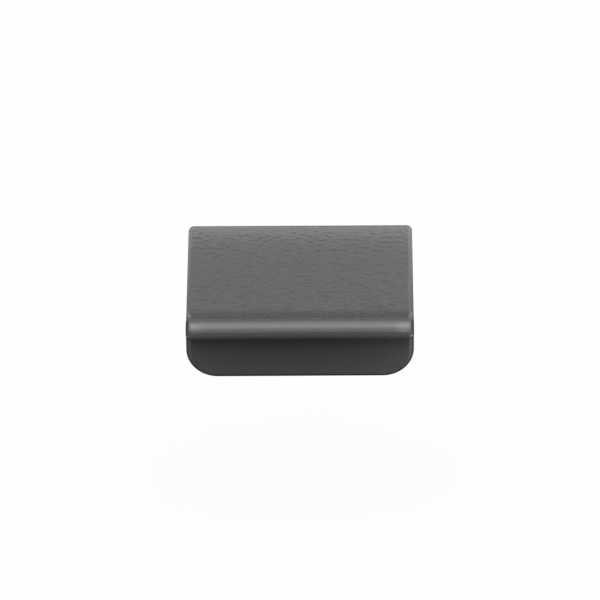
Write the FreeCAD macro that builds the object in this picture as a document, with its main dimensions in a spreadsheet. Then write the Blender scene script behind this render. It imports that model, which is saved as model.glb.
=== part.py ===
"""Tab pull for a drawer or door, one solid of painted metal.

Seen from the side it is a long hook. A flat plate lies on the top edge of the drawer front, a flange
hangs down behind it with two screw holes, and a lip hangs down in front for the fingers. A rounded
bead runs along the corner between the plate and the lip. The plate rises to it in a shallow hollow.

Millimetres. +X runs along the drawer front, -Y points out of it and +Z is up. The origin lies
midway between the two screw holes, on the face of the flange that meets the drawer front's back.
"""
import FreeCAD, Part
import math
import os
import Sketcher
from FreeCAD import Vector

NODE = "pull_body"

# Each row: alias, size and what it measures.
SIZES = (
    ("width", 38.1, "length of the pull along the drawer front"),
    ("wall", 2.0, "thickness of the plate, the lip and the flange"),
    ("panel", 19.0, "drawer front that the plate lies on"),
    ("finger_room", 10.65, "space between the drawer front and the lip"),
    ("lip_drop", 8.2, "lip, from the underside of the plate to its lower edge"),
    ("lip_corner", 5.25, "radius of the lip's two lower corners"),
    ("bead_crown", 1.66, "radius of the bead at its top"),
    ("bead_sink", 0.25, "centre of the bead's crown below the top of the plate"),
    ("bead_inset", 0.25, "centre of the bead's crown behind the front of the lip"),
    ("crown_end", 55.0, "degrees above level that the bead faces where its crown ends"),
    ("bead_flatness", 1.54, "by how much the radius of the bead's face is larger than the crown's"),
    ("face_end", 20.0, "degrees above level that the bead faces where its face ends"),
    ("chin_land", 0.07, "by how much the radius of the bead's chin is larger than that of the edges"),
    ("top_hollow", 10.0, "radius of the hollow between the plate and the bead"),
    ("lip_hollow", 1.0, "radius of the hollow between the bead and the lip"),
    ("inside_radius", 1.0, "inside corners under the plate"),
    ("edge_land", 0.24, "flat left between the two rounded edges of a wall"),
    ("screw_drop", 7.5, "screw holes below the underside of the plate"),
    ("screw_inset", 6.35, "screw holes from the ends of the pull"),
    ("flange_edge", 6.5, "lower edge of the flange below the screw holes"),
    ("flange_corner", 5.5, "radius of the flange's two lower corners"),
    ("hole_width", 4.0, "diameter of a screw hole"),
    ("head_width", 7.2, "diameter of the countersink at the flange's rear face"),
    ("head_angle", 90.0, "full angle of the countersink in degrees"),
)

# Formulas in terms of the sheet, each used for more than one dimension.
EDGE_RADIUS = "(Sizes.wall - Sizes.edge_land) / 2"
FACE_RADIUS = "Sizes.bead_crown + Sizes.bead_flatness"
LIP_STRAIGHT = "Sizes.lip_drop - Sizes.inside_radius"
FLANGE_STRAIGHT = "Sizes.screw_drop + Sizes.flange_edge - Sizes.inside_radius"

# Numbers that a sketch gives to the vertices of a line or an arc, and to its own two axes.
START, END, CENTRE = range(1, 4)
AXIS_ACROSS, AXIS_UP = -1, -2

SAME_PLACE = 1e-4
SHARP_DEGREES = 5.0


def make_sheet(doc):
    """The driving sizes, one row each: words, number, alias."""
    sheet = doc.addObject("Spreadsheet::Sheet", "Sizes")
    for row, (alias, size, words) in enumerate(SIZES, start=1):
        sheet.set("A%d" % row, words)
        sheet.set("B%d" % row, str(size))
        sheet.setAlias("B%d" % row, alias)
    doc.recompute()
    return sheet


def add_sketch(body, name, role):
    """A sketch on one of the body's own origin planes."""
    plane = next(item for item in body.Origin.OriginFeatures if item.Role == role)
    sketch = body.newObject("Sketcher::SketchObject", name)
    sketch.AttachmentSupport = [(plane, "")]
    sketch.MapMode = "FlatFace"
    return sketch


def drive(sketch, name, formula, kind, *places):
    """Adds a dimension to the sketch and ties it to the size sheet."""
    number = sketch.addConstraint(Sketcher.Constraint(kind, *places))
    sketch.renameConstraint(number, name)
    sketch.setExpression("Constraints." + name, formula)


def line(start, end):
    """A straight piece of an outline, with the vertices where the outline enters and leaves it."""
    return Part.LineSegment(Vector(*start), Vector(*end)), START, END


def arc(centre, radius, first_angle, last_angle):
    """A round piece of an outline. It turns left where the second angle is the larger one."""
    circle = Part.Circle(Vector(*centre), Vector(0, 0, 1), radius)
    if last_angle > first_angle:
        return Part.ArcOfCircle(circle, first_angle, last_angle), START, END
    return Part.ArcOfCircle(circle, last_angle, first_angle), END, START


def beside(point, distance, angle):
    """The point at a distance from another, in the direction of an angle."""
    return point[0] + distance * math.cos(angle), point[1] + distance * math.sin(angle)


def add_outline(sketch, pieces):
    """Draws the pieces as one closed line: corners between lines, smooth joints elsewhere."""
    names = list(pieces)
    number = {name: sketch.addGeometry(pieces[name][0], False) for name in names}
    for name, following in zip(names, names[1:] + names[:1]):
        shape, _, leaves = pieces[name]
        next_shape, enters, _ = pieces[following]
        both_straight = all(isinstance(item, Part.LineSegment) for item in (shape, next_shape))
        joint = "Coincident" if both_straight else "Tangent"
        sketch.addConstraint(
            Sketcher.Constraint(joint, number[name], leaves, number[following], enters))
    return number


def add_section(body, sheet):
    """The pull seen from its end: lip, bead, plate and flange in one closed line."""
    inside = sheet.inside_radius
    outside = inside + sheet.wall
    underside = sheet.screw_drop
    top = underside + sheet.wall
    lip_back = -sheet.panel - sheet.finger_room
    lip_front = lip_back - sheet.wall
    lip_foot = underside - sheet.lip_drop
    flange_foot = -sheet.flange_edge

    # Crown, face and chin of the bead run smoothly into each other, from the top to the underside.
    crown_end = math.pi - math.radians(sheet.crown_end)
    face_end = math.pi - math.radians(sheet.face_end)
    face_radius = sheet.bead_crown + sheet.bead_flatness
    chin_radius = (sheet.wall - sheet.edge_land) / 2 + sheet.chin_land
    crown = (lip_front + sheet.bead_inset, top - sheet.bead_sink)
    face = beside(crown, -sheet.bead_flatness, crown_end)
    chin = beside(face, face_radius - chin_radius, face_end)

    # One hollow touches the plate's top and the crown, the other touches the chin and the lip's front.
    reach = sheet.bead_crown + sheet.top_hollow
    crown_start = math.asin((sheet.bead_sink + sheet.top_hollow) / reach)
    top_hollow = beside(crown, reach, crown_start)
    reach = chin_radius + sheet.lip_hollow
    chin_end = 2 * math.pi - math.acos((lip_front - sheet.lip_hollow - chin[0]) / reach)
    lip_hollow = beside(chin, reach, chin_end)

    right, up, left, down = 0.0, math.pi / 2, math.pi, 1.5 * math.pi
    pieces = {
        "lip_foot": line((lip_front, lip_foot), (lip_back, lip_foot)),
        "lip_back": line((lip_back, lip_foot), (lip_back, underside - inside)),
        "lip_inside": arc((lip_back + inside, underside - inside), inside, left, up),
        "underside": line((lip_back + inside, underside), (-inside, underside)),
        "flange_inside": arc((-inside, underside - inside), inside, up, right),
        "flange_face": line((0, underside - inside), (0, flange_foot)),
        "flange_foot": line((0, flange_foot), (sheet.wall, flange_foot)),
        "flange_back": line((sheet.wall, flange_foot), (sheet.wall, top - outside)),
        "rear_bend": arc((sheet.wall - outside, top - outside), outside, right, up),
        "top": line((sheet.wall - outside, top), (top_hollow[0], top)),
        "top_hollow": arc(top_hollow, sheet.top_hollow, down, crown_start + math.pi),
        "crown": arc(crown, sheet.bead_crown, crown_start, crown_end),
        "face": arc(face, face_radius, crown_end, face_end),
        "chin": arc(chin, chin_radius, face_end, chin_end),
        "lip_hollow": arc(lip_hollow, sheet.lip_hollow, chin_end - math.pi, right),
        "lip_front": line((lip_front, lip_hollow[1]), (lip_front, lip_foot)),
    }
    sketch = add_sketch(body, "Section", "YZ_Plane")
    number = add_outline(sketch, pieces)
    for name in ("lip_foot", "underside", "flange_foot", "top"):
        sketch.addConstraint(Sketcher.Constraint("Horizontal", number[name]))
    for name in ("lip_back", "flange_face", "flange_back", "lip_front"):
        sketch.addConstraint(Sketcher.Constraint("Vertical", number[name]))

    def across(name, formula, first, second):
        drive(sketch, name, formula, "DistanceX", number[first[0]], first[1],
              number[second[0]], second[1], second[2] - first[2])

    def upwards(name, formula, first, second):
        drive(sketch, name, formula, "DistanceY", number[first[0]], first[1],
              number[second[0]], second[1], second[2] - first[2])

    def bend(name, formula, piece, radius):
        drive(sketch, name, formula, "Radius", number[piece], radius)

    def turn(name, formula, piece, centre, angle):
        spoke = sketch.addGeometry(Part.LineSegment(Vector(*face), Vector(*centre)), True)
        for end, round_piece in ((START, "face"), (END, piece)):
            sketch.addConstraint(
                Sketcher.Constraint("Coincident", spoke, end, number[round_piece], CENTRE))
        drive(sketch, name, formula, "Angle", spoke, angle)

    sketch.addConstraint(
        Sketcher.Constraint("PointOnObject", number["flange_face"], END, AXIS_UP))
    across("flange_wall", "Sizes.wall",
           ("flange_foot", START, 0), ("flange_foot", END, sheet.wall))
    across("lip_wall", "Sizes.wall",
           ("lip_foot", START, lip_front), ("lip_foot", END, lip_back))
    across("mouth", "Sizes.panel + Sizes.finger_room",
           ("lip_foot", END, lip_back), ("flange_foot", START, 0))
    across("bead_inset", "Sizes.bead_inset",
           ("lip_front", START, lip_front), ("crown", CENTRE, crown[0]))
    upwards("plate_wall", "Sizes.wall",
            ("underside", START, underside), ("top", START, top))
    upwards("bead_sink", "Sizes.bead_sink",
            ("crown", CENTRE, crown[1]), ("top", END, top))
    upwards("lip_drop", "Sizes.lip_drop",
            ("lip_foot", END, lip_foot), ("underside", START, underside))
    upwards("flange_drop", "Sizes.screw_drop + Sizes.flange_edge",
            ("flange_foot", START, flange_foot), ("underside", END, underside))
    drive(sketch, "screw_drop", "Sizes.screw_drop", "DistanceY",
          AXIS_ACROSS, START, number["underside"], START, underside)
    bend("top_hollow", "Sizes.top_hollow", "top_hollow", sheet.top_hollow)
    bend("crown", "Sizes.bead_crown", "crown", sheet.bead_crown)
    bend("face", FACE_RADIUS, "face", face_radius)
    bend("chin", EDGE_RADIUS + " + Sizes.chin_land", "chin", chin_radius)
    bend("lip_hollow", "Sizes.lip_hollow", "lip_hollow", sheet.lip_hollow)
    bend("lip_inside", "Sizes.inside_radius", "lip_inside", inside)
    bend("flange_inside", "Sizes.inside_radius", "flange_inside", inside)
    bend("rear_bend", "Sizes.inside_radius + Sizes.wall", "rear_bend", outside)
    turn("crown_end", "180 - Sizes.crown_end", "crown", crown, crown_end)
    turn("face_end", "180 - Sizes.face_end", "chin", chin, face_end)
    return sketch


def edge_names(shape, wanted):
    """Names of the shape's edges for which wanted(edge) is true."""
    return ["Edge%d" % number for number, edge in enumerate(shape.Edges, start=1) if wanted(edge)]


def runs_along_depth_at(height):
    """A test for straight edges along Y at one height, such as the ends of a foot."""
    def wanted(edge):
        points = [vertex.Point for vertex in edge.Vertexes]
        level = all(abs(point.z - height) < SAME_PLACE for point in points)
        return level and abs(points[0].x - points[-1].x) < SAME_PLACE
    return wanted


def is_sharp(shape):
    """A test for edges whose two faces meet at an angle."""
    def wanted(edge):
        middle = edge.valueAt((edge.FirstParameter + edge.LastParameter) / 2)
        normals = []
        for face in shape.ancestorsOfType(edge, Part.Face):
            normals.append(face.normalAt(*face.Surface.parameter(middle)))
        return math.degrees(normals[0].getAngle(normals[-1])) > SHARP_DEGREES
    return wanted


def add_fillet(body, name, names, formula):
    """Rounds the named edges of the body's present tip."""
    base = body.Tip
    fillet = body.newObject("PartDesign::Fillet", name)
    fillet.Base = (base, names)
    fillet.setExpression("Radius", formula)
    body.Document.recompute()
    return fillet


def add_screw_holes(body, sheet):
    """Two countersunk holes, drilled forwards from the rear face of the flange."""
    sketch = add_sketch(body, "ScrewCentres", "XZ_Plane")
    sketch.setExpression("AttachmentOffset.Base.z", "-Sizes.wall")
    reach = sheet.width / 2 - sheet.screw_inset
    for side, name in ((-1, "left"), (1, "right")):
        circle = Part.Circle(Vector(side * reach, 0, 0), Vector(0, 0, 1), sheet.hole_width / 2)
        number = sketch.addGeometry(circle, False)
        sketch.addConstraint(Sketcher.Constraint("PointOnObject", number, CENTRE, AXIS_ACROSS))
        ends = [(AXIS_ACROSS, START), (number, CENTRE)][::side]
        drive(sketch, name + "_reach", "Sizes.width / 2 - Sizes.screw_inset",
              "DistanceX", *ends[0], *ends[1], reach)
        drive(sketch, name + "_width", "Sizes.hole_width", "Diameter", number, sheet.hole_width)
    body.Document.recompute()
    hole = body.newObject("PartDesign::Hole", "ScrewHoles")
    hole.Profile = sketch
    hole.DepthType = "Dimension"
    hole.DrillPoint = "Flat"
    hole.HoleCutType = "Countersink"
    hole.HoleCutCustomValues = True
    hole.Reversed = True
    hole.setExpression("Depth", "Sizes.wall + Sizes.inside_radius")
    hole.setExpression("Diameter", "Sizes.hole_width")
    hole.setExpression("HoleCutDiameter", "Sizes.head_width")
    hole.setExpression("HoleCutCountersinkAngle", "Sizes.head_angle")
    body.Document.recompute()
    return hole


def make_pull(doc, sheet):
    """Section, length, corners, edges and screw holes, in that order."""
    body = doc.addObject("PartDesign::Body", "PullBody")
    body.Label = NODE
    section = add_section(body, sheet)
    doc.recompute()

    pad = body.newObject("PartDesign::Pad", "Length")
    pad.Profile = section
    pad.SideType = "Symmetric"
    pad.setExpression("Length", "Sizes.width")
    doc.recompute()

    lip_foot = sheet.screw_drop - sheet.lip_drop
    lip_ends = edge_names(body.Tip.Shape, runs_along_depth_at(lip_foot))
    add_fillet(body, "LipCorners", lip_ends, "min(Sizes.lip_corner; %s)" % LIP_STRAIGHT)
    flange_ends = edge_names(body.Tip.Shape, runs_along_depth_at(-sheet.flange_edge))
    add_fillet(body, "FlangeCorners", flange_ends,
               "min(Sizes.flange_corner; %s)" % FLANGE_STRAIGHT)
    shape = body.Tip.Shape
    add_fillet(body, "RoundedEdges", edge_names(shape, is_sharp(shape)), EDGE_RADIUS)
    add_screw_holes(body, sheet)
    body.Placement = FreeCAD.Placement()
    return body


def check(doc, body):
    """Stops before anything is written if a feature or the solid is at fault."""
    doc.recompute()
    for item in doc.Objects:
        if "Invalid" in item.State or "Error" in item.State:
            raise RuntimeError("%s is at fault: %s" % (item.Label, item.State))
    shape = body.Shape
    if shape.isNull() or not shape.isValid() or len(shape.Solids) != 1:
        raise RuntimeError("%s is not one valid solid" % body.Label)
    flange = body.getObject("ScrewHoles").BaseFeature.Shape
    if shape.Volume >= flange.Volume:
        raise RuntimeError("the screw holes cut nothing")


def main():
    doc = FreeCAD.newDocument("TabPull")
    sheet = make_sheet(doc)
    body = make_pull(doc, sheet)
    check(doc, body)
    os.makedirs("parts", exist_ok=True)
    body.Shape.exportStep(os.path.join("parts", body.Label + ".step"))
    box = body.Shape.optimalBoundingBox()
    print("%s: %.2f x %.2f x %.2f mm, %.1f mm3, %d faces" % (
        body.Label, box.XLength, box.YLength, box.ZLength, body.Shape.Volume, len(body.Shape.Faces)))


main()
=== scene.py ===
"""Looks of the tab pull: the powder coat on its one solid, and the plain studio round it.

Metres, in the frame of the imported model: +X runs along the drawer front, -Y points out of it
towards the user and +Z is up.
"""
import math

import bmesh
import bpy
from mathutils import Matrix, Vector


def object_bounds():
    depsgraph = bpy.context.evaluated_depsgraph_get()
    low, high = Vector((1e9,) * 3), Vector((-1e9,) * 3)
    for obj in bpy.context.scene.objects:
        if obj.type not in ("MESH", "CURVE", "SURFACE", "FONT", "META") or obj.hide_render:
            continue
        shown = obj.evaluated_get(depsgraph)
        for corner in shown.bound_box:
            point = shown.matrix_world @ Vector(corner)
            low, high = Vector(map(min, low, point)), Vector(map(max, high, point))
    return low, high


bl_info = {
    "name": "Tab pull",
    "version": (1, 0, 0),
    "blender": (4, 5, 0),
    "location": "3D View > Sidebar > Tab pull",
    "description": "Powder coat, floor, softboxes and camera for a tab pull",
    "category": "Object",
}

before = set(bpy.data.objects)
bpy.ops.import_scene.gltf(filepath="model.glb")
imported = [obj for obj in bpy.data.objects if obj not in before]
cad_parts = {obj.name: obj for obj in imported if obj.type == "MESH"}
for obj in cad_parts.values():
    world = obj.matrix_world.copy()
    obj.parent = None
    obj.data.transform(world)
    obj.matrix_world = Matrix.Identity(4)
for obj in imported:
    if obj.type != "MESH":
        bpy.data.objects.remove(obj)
CAD_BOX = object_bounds()
PULL = "pull_body"

CAMERA_SENSOR = 0.036
CAMERA_REACH = 100.0
FLOOR_CORNERS = 96
MILLIMETRE = 0.001
PLATE_MIDDLE = -0.01475  # Middle, along Y, of the stretch of the plate with full orange peel.
PLATE_HALF = 0.01275  # From that middle to where the orange peel starts to fade.
PLATE_FADE = 0.002  # Width of the fade.
GRAIN_MEAN = 0.5  # Mean of a noise texture.
GRAIN_ROUGHNESS = 0.1  # How far the grains differ in roughness.
MIX_FACTOR, MIX_FIRST, MIX_SECOND, MIX_COLOUR = 0, 6, 7, 2  # Sockets of a Mix node on colours.

# Name, azimuth and elevation in degrees, distance, width and height, and brightness. A wide lamp
# of brightness 1 all round would show each colour as it is written.
SOFTBOXES = (
    ("softbox_key", 0, 70, 0.7, (1.4, 0.12), 2.23),
    ("softbox_key_low", 0, 60, 0.7, (1.4, 0.12), 1.2),
    ("softbox_top", 0, 70, 0.7, (1.4, 0.65), 2.0),
    ("softbox_front", 0, 35, 0.7, (1.4, 0.24), 0.93),
    ("softbox_right", 40, 18, 0.7, (0.56, 0.5), 0.48),
    ("softbox_rear_top", 180, 70, 0.7, (1.4, 0.41), 0.8),
    ("softbox_rear", 180, 33.5, 0.7, (1.4, 0.11), 0.98),
    ("softbox_rear_low", 180, 24, 0.7, (1.4, 0.08), 0.25),
)

# Small lamps close to the pull, in millimetres: name, place, direction towards the lamp, size and
# brightness. They light its rims and the ends of its bead.
CARDS = (
    ("card_rear", (0, 24, 24.5), (0, 1, 0), (70, 5), 0.45),
    ("card_back", (0, 10, 6.5), (0, 1, 0), (76, 5), 0.6),
    ("card_shelf_low", (0, 8, 11.3), (0, 0, 1), (76, 8), 1.2),
    ("card_shelf", (0, 9, 13.5), (0, 0, 1), (76, 12), 0.46),
    ("card_right", (24, 2, 6.5), (1, 0, 0), (48, 9), 0.42),
    ("card_right_high", (24, 1, 18.5), (1, 0, 0), (48, 15), 0.52),
    ("card_left", (-24, 2, 6.5), (-1, 0, 0), (48, 9), 0.4),
    ("card_left_high", (-24, 1, 13.5), (-1, 0, 0), (48, 5), 0.33),
    ("card_lip_right", (35, -42, 0), (1, 0, 0), (14, 6), 5.6),
    ("card_lip_right_near", (22, -38, 2), (1, 0, 0), (6, 10), 0.95),
    ("card_lip_left", (-35, -42, 0), (-1, 0, 0), (14, 6), 3.0),
    ("card_lip_left_near", (-22, -38, 2), (-1, 0, 0), (6, 10), 0.42),
    ("card_lip_below", (0, -46, -12), (0, -0.7, -0.7), (70, 6), 0.2),
    ("card_bead_right", (17.5, -36.6, 14.6), (0, -0.64, 0.77), (2, 8), 1.2),
    ("card_bead_left", (-17.7, -35.6, 14.8), (0, -0.5, 0.87), (1.6, 5.5), 1.1),
)


class Wire:
    """A socket of a shader tree. Sums, differences and products of wires add Math nodes."""

    def __init__(self, tree, socket=None):
        self.tree = tree
        self.socket = socket

    def add(self, kind, settings=(), values=(), output=0):
        """Adds a node: first its settings, then the values or wires of its inputs."""
        node = self.tree.nodes.new(kind)
        for name, value in dict(settings).items():
            setattr(node, name, value)
        for name, value in dict(values).items():
            if isinstance(value, Wire):
                self.tree.links.new(value.socket, node.inputs[name])
            else:
                node.inputs[name].default_value = value
        return Wire(self.tree, node.outputs[output] if len(node.outputs) else None)

    def math(self, operation, first, second):
        return self.add("ShaderNodeMath", {"operation": operation}, {0: first, 1: second})

    def __add__(self, other):
        return self.math("ADD", self, other)

    def __sub__(self, other):
        return self.math("SUBTRACT", self, other)

    def __rsub__(self, other):
        return self.math("SUBTRACT", other, self)

    def __mul__(self, other):
        return self.math("MULTIPLY", self, other)

    __radd__ = __add__
    __rmul__ = __mul__


class PullFinish(bpy.types.PropertyGroup):
    """The black powder coat."""

    coat_colour: bpy.props.FloatVectorProperty(
        name="Coat colour", description="Colour of the powder coat", subtype="COLOR",
        size=4, min=0.0, max=1.0, default=(0.08, 0.08, 0.08, 1.0))
    roughness: bpy.props.FloatProperty(
        name="Roughness", description="How matt the coat is", default=0.22, min=0.0, max=1.0)
    gloss: bpy.props.FloatProperty(
        name="Gloss", description="Strength of the coat's reflection",
        default=0.75, min=0.0, max=1.0)
    grain_size: bpy.props.FloatProperty(
        name="Grain size", description="Width of the finest grains of the coat",
        default=0.00025, unit="LENGTH")
    grain_height: bpy.props.FloatProperty(
        name="Grain height", description="Height of the finest grains of the coat",
        default=0.000009, unit="LENGTH")
    peel_size: bpy.props.FloatProperty(
        name="Orange peel size", description="Width of the coat's low waves",
        default=0.0008, unit="LENGTH")
    peel_height: bpy.props.FloatProperty(
        name="Orange peel height", description="Height of the coat's low waves",
        default=0.000065, unit="LENGTH")
    peel_stretch: bpy.props.FloatProperty(
        name="Orange peel stretch", description="Width of the low waves across the pull, as a "
        "share of their length along it", default=0.75, min=0.1, max=1.0)
    outer_peel: bpy.props.FloatProperty(
        name="Outer orange peel", description="Share of the low waves left on bead, lip and "
        "flange", default=0.2, min=0.0, max=1.0)
    mottle: bpy.props.FloatProperty(
        name="Mottle", description="How far the grains differ in colour, as a share",
        default=0.18, min=0.0, max=1.0)


class PullStudio(bpy.types.PropertyGroup):
    """Camera, floor and lamps."""

    elevation: bpy.props.FloatProperty(
        name="Camera elevation", description="How far the camera looks down",
        default=math.radians(33.0), subtype="ANGLE")
    turn: bpy.props.FloatProperty(
        name="Camera turn", description="How far the camera stands to the side",
        default=math.radians(0.411), subtype="ANGLE")
    roll: bpy.props.FloatProperty(
        name="Camera roll", description="How far the picture is tilted",
        default=math.radians(-0.52), subtype="ANGLE")
    distance: bpy.props.FloatProperty(
        name="Camera distance", description="From the camera to the point that it aims at",
        default=1.2013, unit="LENGTH")
    picture_width: bpy.props.FloatProperty(
        name="Picture width", description="Width of the view at the point that the camera aims at",
        default=0.09966, unit="LENGTH")
    aim_side: bpy.props.FloatProperty(
        name="Aim to the side", description="Point that the camera aims at, from the middle",
        default=0.00008, unit="LENGTH")
    aim_height: bpy.props.FloatProperty(
        name="Aim height", description="Point that the camera aims at, above the bead's front",
        default=0.0052, unit="LENGTH")
    floor_drop: bpy.props.FloatProperty(
        name="Floor drop", description="Floor below the flange of the mounted pull",
        default=0.03, unit="LENGTH")
    floor_radius: bpy.props.FloatProperty(
        name="Floor radius", description="Radius of the round floor", default=3.0, unit="LENGTH")
    floor_colour: bpy.props.FloatVectorProperty(
        name="Floor colour", description="Colour of the floor in the picture", subtype="COLOR",
        size=4, min=0.0, max=1.0, default=(0.95, 0.95, 0.95, 1.0))
    floor_bounce: bpy.props.FloatVectorProperty(
        name="Floor bounce", description="Colour of the floor where it lights the pull",
        subtype="COLOR", size=4, min=0.0, max=1.0, default=(0.03, 0.03, 0.03, 1.0))
    floor_white: bpy.props.FloatProperty(
        name="Floor white", description="Share of plain white in the floor of the picture",
        default=0.9, min=0.0, max=1.0)


def coat_material(finish):
    """Matt black powder coat: fine grain over low waves that are longer along the pull."""
    material = bpy.data.materials.new("black_powder_coat")
    material.use_nodes = True
    tree = material.node_tree
    tree.nodes.clear()
    start = Wire(tree)
    place = start.add("ShaderNodeTexCoord", output="Object")
    depth = start.add("ShaderNodeSeparateXYZ", {}, {"Vector": place}, output="Y")
    off_middle = start.add("ShaderNodeMath", {"operation": "ABSOLUTE"}, {0: depth - PLATE_MIDDLE})
    wavy = start.add("ShaderNodeMapRange", {"interpolation_type": "SMOOTHSTEP"}, {
        "Value": off_middle, "From Min": PLATE_HALF, "From Max": PLATE_HALF + PLATE_FADE,
        "To Min": 1.0, "To Max": finish.outer_peel})
    grain = start.add("ShaderNodeTexNoise", {"noise_dimensions": "3D"},
                      {"Vector": place, "Scale": 1 / finish.grain_size, "Detail": 1.0})
    along = start.add("ShaderNodeMapping", {}, {"Vector": place,
                                                "Scale": (finish.peel_stretch, 1.0, 1.0)})
    peel = start.add("ShaderNodeTexNoise", {"noise_dimensions": "3D"},
                     {"Vector": along, "Scale": 1 / finish.peel_size, "Detail": 0.0})
    low = start.add("ShaderNodeBump", {}, {"Strength": 1.0, "Distance": finish.peel_height,
                                           "Height": (peel - GRAIN_MEAN) * wavy})
    normal = start.add("ShaderNodeBump", {}, {"Strength": 1.0, "Distance": finish.grain_height,
                                              "Height": grain, "Normal": low})
    rough = (grain - GRAIN_MEAN) * GRAIN_ROUGHNESS + finish.roughness
    dark, pale = [[part * share for part in finish.coat_colour[:3]] + [1.0]
                  for share in (1 - finish.mottle, 1 + finish.mottle)]
    colour = start.add("ShaderNodeMix", {"data_type": "RGBA"},
                       {MIX_FACTOR: grain, MIX_FIRST: dark, MIX_SECOND: pale},
                       output=MIX_COLOUR)
    surface = start.add("ShaderNodeBsdfPrincipled", {}, {
        "Base Color": colour, "Roughness": rough, "Normal": normal,
        "Specular IOR Level": finish.gloss})
    start.add("ShaderNodeOutputMaterial", {}, {"Surface": surface})
    return material


def floor_material(studio):
    """Pale floor that the camera sees as white, with the shadow kept."""
    material = bpy.data.materials.new("pale_floor")
    material.use_nodes = True
    tree = material.node_tree
    tree.nodes.clear()
    start = Wire(tree)
    seen = start.add("ShaderNodeLightPath", output="Is Camera Ray")
    pale = start.add("ShaderNodeBsdfDiffuse", {}, {"Color": studio.floor_colour[:]})
    white = start.add("ShaderNodeEmission", {}, {"Strength": 1.0})
    picture = start.add("ShaderNodeMixShader", {}, {0: studio.floor_white, 1: pale, 2: white})
    bounce = start.add("ShaderNodeBsdfDiffuse", {}, {"Color": studio.floor_bounce[:]})
    surface = start.add("ShaderNodeMixShader", {}, {0: seen, 1: bounce, 2: picture})
    start.add("ShaderNodeOutputMaterial", {}, {"Surface": surface})
    return material


def white_world():
    """White where the camera sees it and dark elsewhere, so that it adds no light."""
    world = bpy.data.worlds.new("studio")
    world.use_nodes = True
    tree = world.node_tree
    tree.nodes.clear()
    start = Wire(tree)
    seen = start.add("ShaderNodeLightPath", output="Is Camera Ray")
    dark = start.add("ShaderNodeBackground", {}, {"Color": (0.0, 0.0, 0.0, 1.0)})
    white = start.add("ShaderNodeBackground", {}, {"Color": (1.0, 1.0, 1.0, 1.0)})
    surface = start.add("ShaderNodeMixShader", {}, {0: seen, 1: dark, 2: white})
    start.add("ShaderNodeOutputWorld", {}, {"Surface": surface})
    return world


def add_lamp(name, size, brightness, place, towards):
    """An area lamp at a place, shining against the direction that leads towards it."""
    lamp = bpy.data.lights.new(name, "AREA")
    lamp.shape = "RECTANGLE"
    lamp.size, lamp.size_y = size
    lamp.energy = brightness * math.pi * size[0] * size[1]
    box = bpy.data.objects.new(name, lamp)
    box.location = place
    box.rotation_mode = "QUATERNION"
    box.rotation_quaternion = (-towards).to_track_quat("-Z", "Y")
    box.visible_camera = False
    bpy.context.scene.collection.objects.link(box)


def add_softbox(name, azimuth, elevation, distance, size, brightness, centre):
    """A lamp on a sphere round the pull. Azimuth 0 is in front of it and 90 on its right."""
    a, e = math.radians(azimuth), math.radians(elevation)
    towards = Vector((math.sin(a) * math.cos(e), -math.cos(a) * math.cos(e), math.sin(e)))
    add_lamp(name, size, brightness, centre + towards * distance, towards)


def aim_camera(studio):
    """A long lens at the angle of the photograph."""
    aim = Vector((studio.aim_side, CAD_BOX[0].y, CAD_BOX[1].z + studio.aim_height))
    turned = (Matrix.Rotation(studio.turn, 4, "Z")
              @ Matrix.Rotation(math.pi / 2 - studio.elevation, 4, "X")
              @ Matrix.Rotation(studio.roll, 4, "Z"))
    camera = bpy.data.cameras.new("camera")
    camera.sensor_width = CAMERA_SENSOR / MILLIMETRE
    camera.lens = camera.sensor_width * studio.distance / studio.picture_width
    camera.clip_end = CAMERA_REACH
    stand = bpy.data.objects.new("camera", camera)
    stand.matrix_world = Matrix.Translation(aim) @ turned @ Matrix.Translation(
        (0.0, 0.0, studio.distance))
    bpy.context.scene.collection.objects.link(stand)
    bpy.context.scene.camera = stand


class OBJECT_OT_coat_pull(bpy.types.Operator):
    """Gives the pull its powder coat"""

    bl_idname = "tab_pull.coat"
    bl_label = "Coat the pull"

    def execute(self, context):
        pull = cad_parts[PULL]
        pull.data.materials.clear()
        pull.data.materials.append(coat_material(context.scene.pull_finish))
        return {"FINISHED"}


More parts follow.
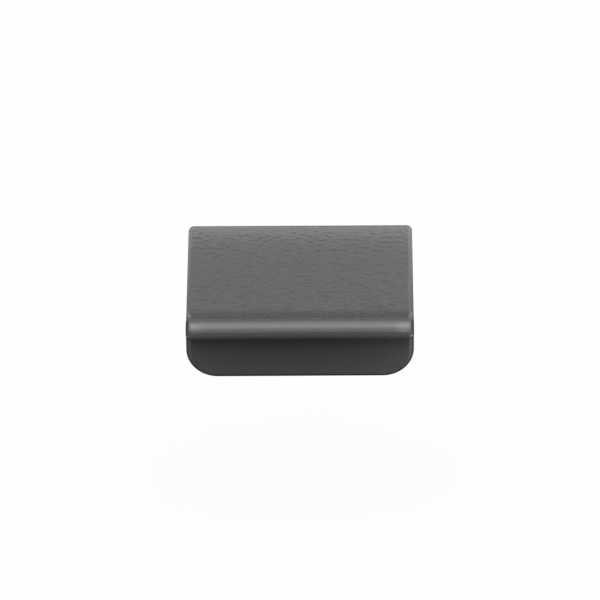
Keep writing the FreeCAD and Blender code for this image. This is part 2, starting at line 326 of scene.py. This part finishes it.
class OBJECT_OT_build_studio(bpy.types.Operator):
    """Lays the floor, hangs the softboxes and sets up the camera"""

    bl_idname = "tab_pull.studio"
    bl_label = "Build the studio"

    def execute(self, context):
        studio = context.scene.pull_studio
        low, high = CAD_BOX
        centre = (low + high) / 2
        mesh = bpy.data.meshes.new("floor")
        form = bmesh.new()
        bmesh.ops.create_circle(form, cap_ends=True, segments=FLOOR_CORNERS,
                                radius=studio.floor_radius,
                                matrix=Matrix.Translation((0, 0, low.z - studio.floor_drop)))
        form.to_mesh(mesh)
        form.free()
        mesh.materials.append(floor_material(studio))
        floor = bpy.data.objects.new("floor", mesh)
        context.scene.collection.objects.link(floor)
        for box in SOFTBOXES:
            add_softbox(*box, centre)
        for name, place, towards, size, brightness in CARDS:
            add_lamp(name, [side * MILLIMETRE for side in size], brightness,
                     Vector(place) * MILLIMETRE, Vector(towards))
        context.scene.world = white_world()
        aim_camera(studio)
        context.scene.view_settings.view_transform = "Standard"
        return {"FINISHED"}


class VIEW3D_PT_tab_pull(bpy.types.Panel):
    """The steps that make the pull's looks"""

    bl_label = "Tab pull"
    bl_space_type = "VIEW_3D"
    bl_region_type = "UI"
    bl_category = "Tab pull"

    def draw(self, context):
        for settings in (context.scene.pull_finish, context.scene.pull_studio):
            for name in settings.__annotations__:
                self.layout.prop(settings, name)
        for operator in OPERATORS:
            self.layout.operator(operator.bl_idname)


OPERATORS = (OBJECT_OT_coat_pull, OBJECT_OT_build_studio)
CLASSES = (PullFinish, PullStudio) + OPERATORS + (VIEW3D_PT_tab_pull,)


def register():
    for item in CLASSES:
        bpy.utils.register_class(item)
    bpy.types.Scene.pull_finish = bpy.props.PointerProperty(type=PullFinish)
    bpy.types.Scene.pull_studio = bpy.props.PointerProperty(type=PullStudio)


def unregister():
    del bpy.types.Scene.pull_studio
    del bpy.types.Scene.pull_finish
    for item in reversed(CLASSES):
        bpy.utils.unregister_class(item)


def main():
    register()
    bpy.ops.tab_pull.coat()
    bpy.ops.tab_pull.studio()


if __name__ == "__main__":
    main()
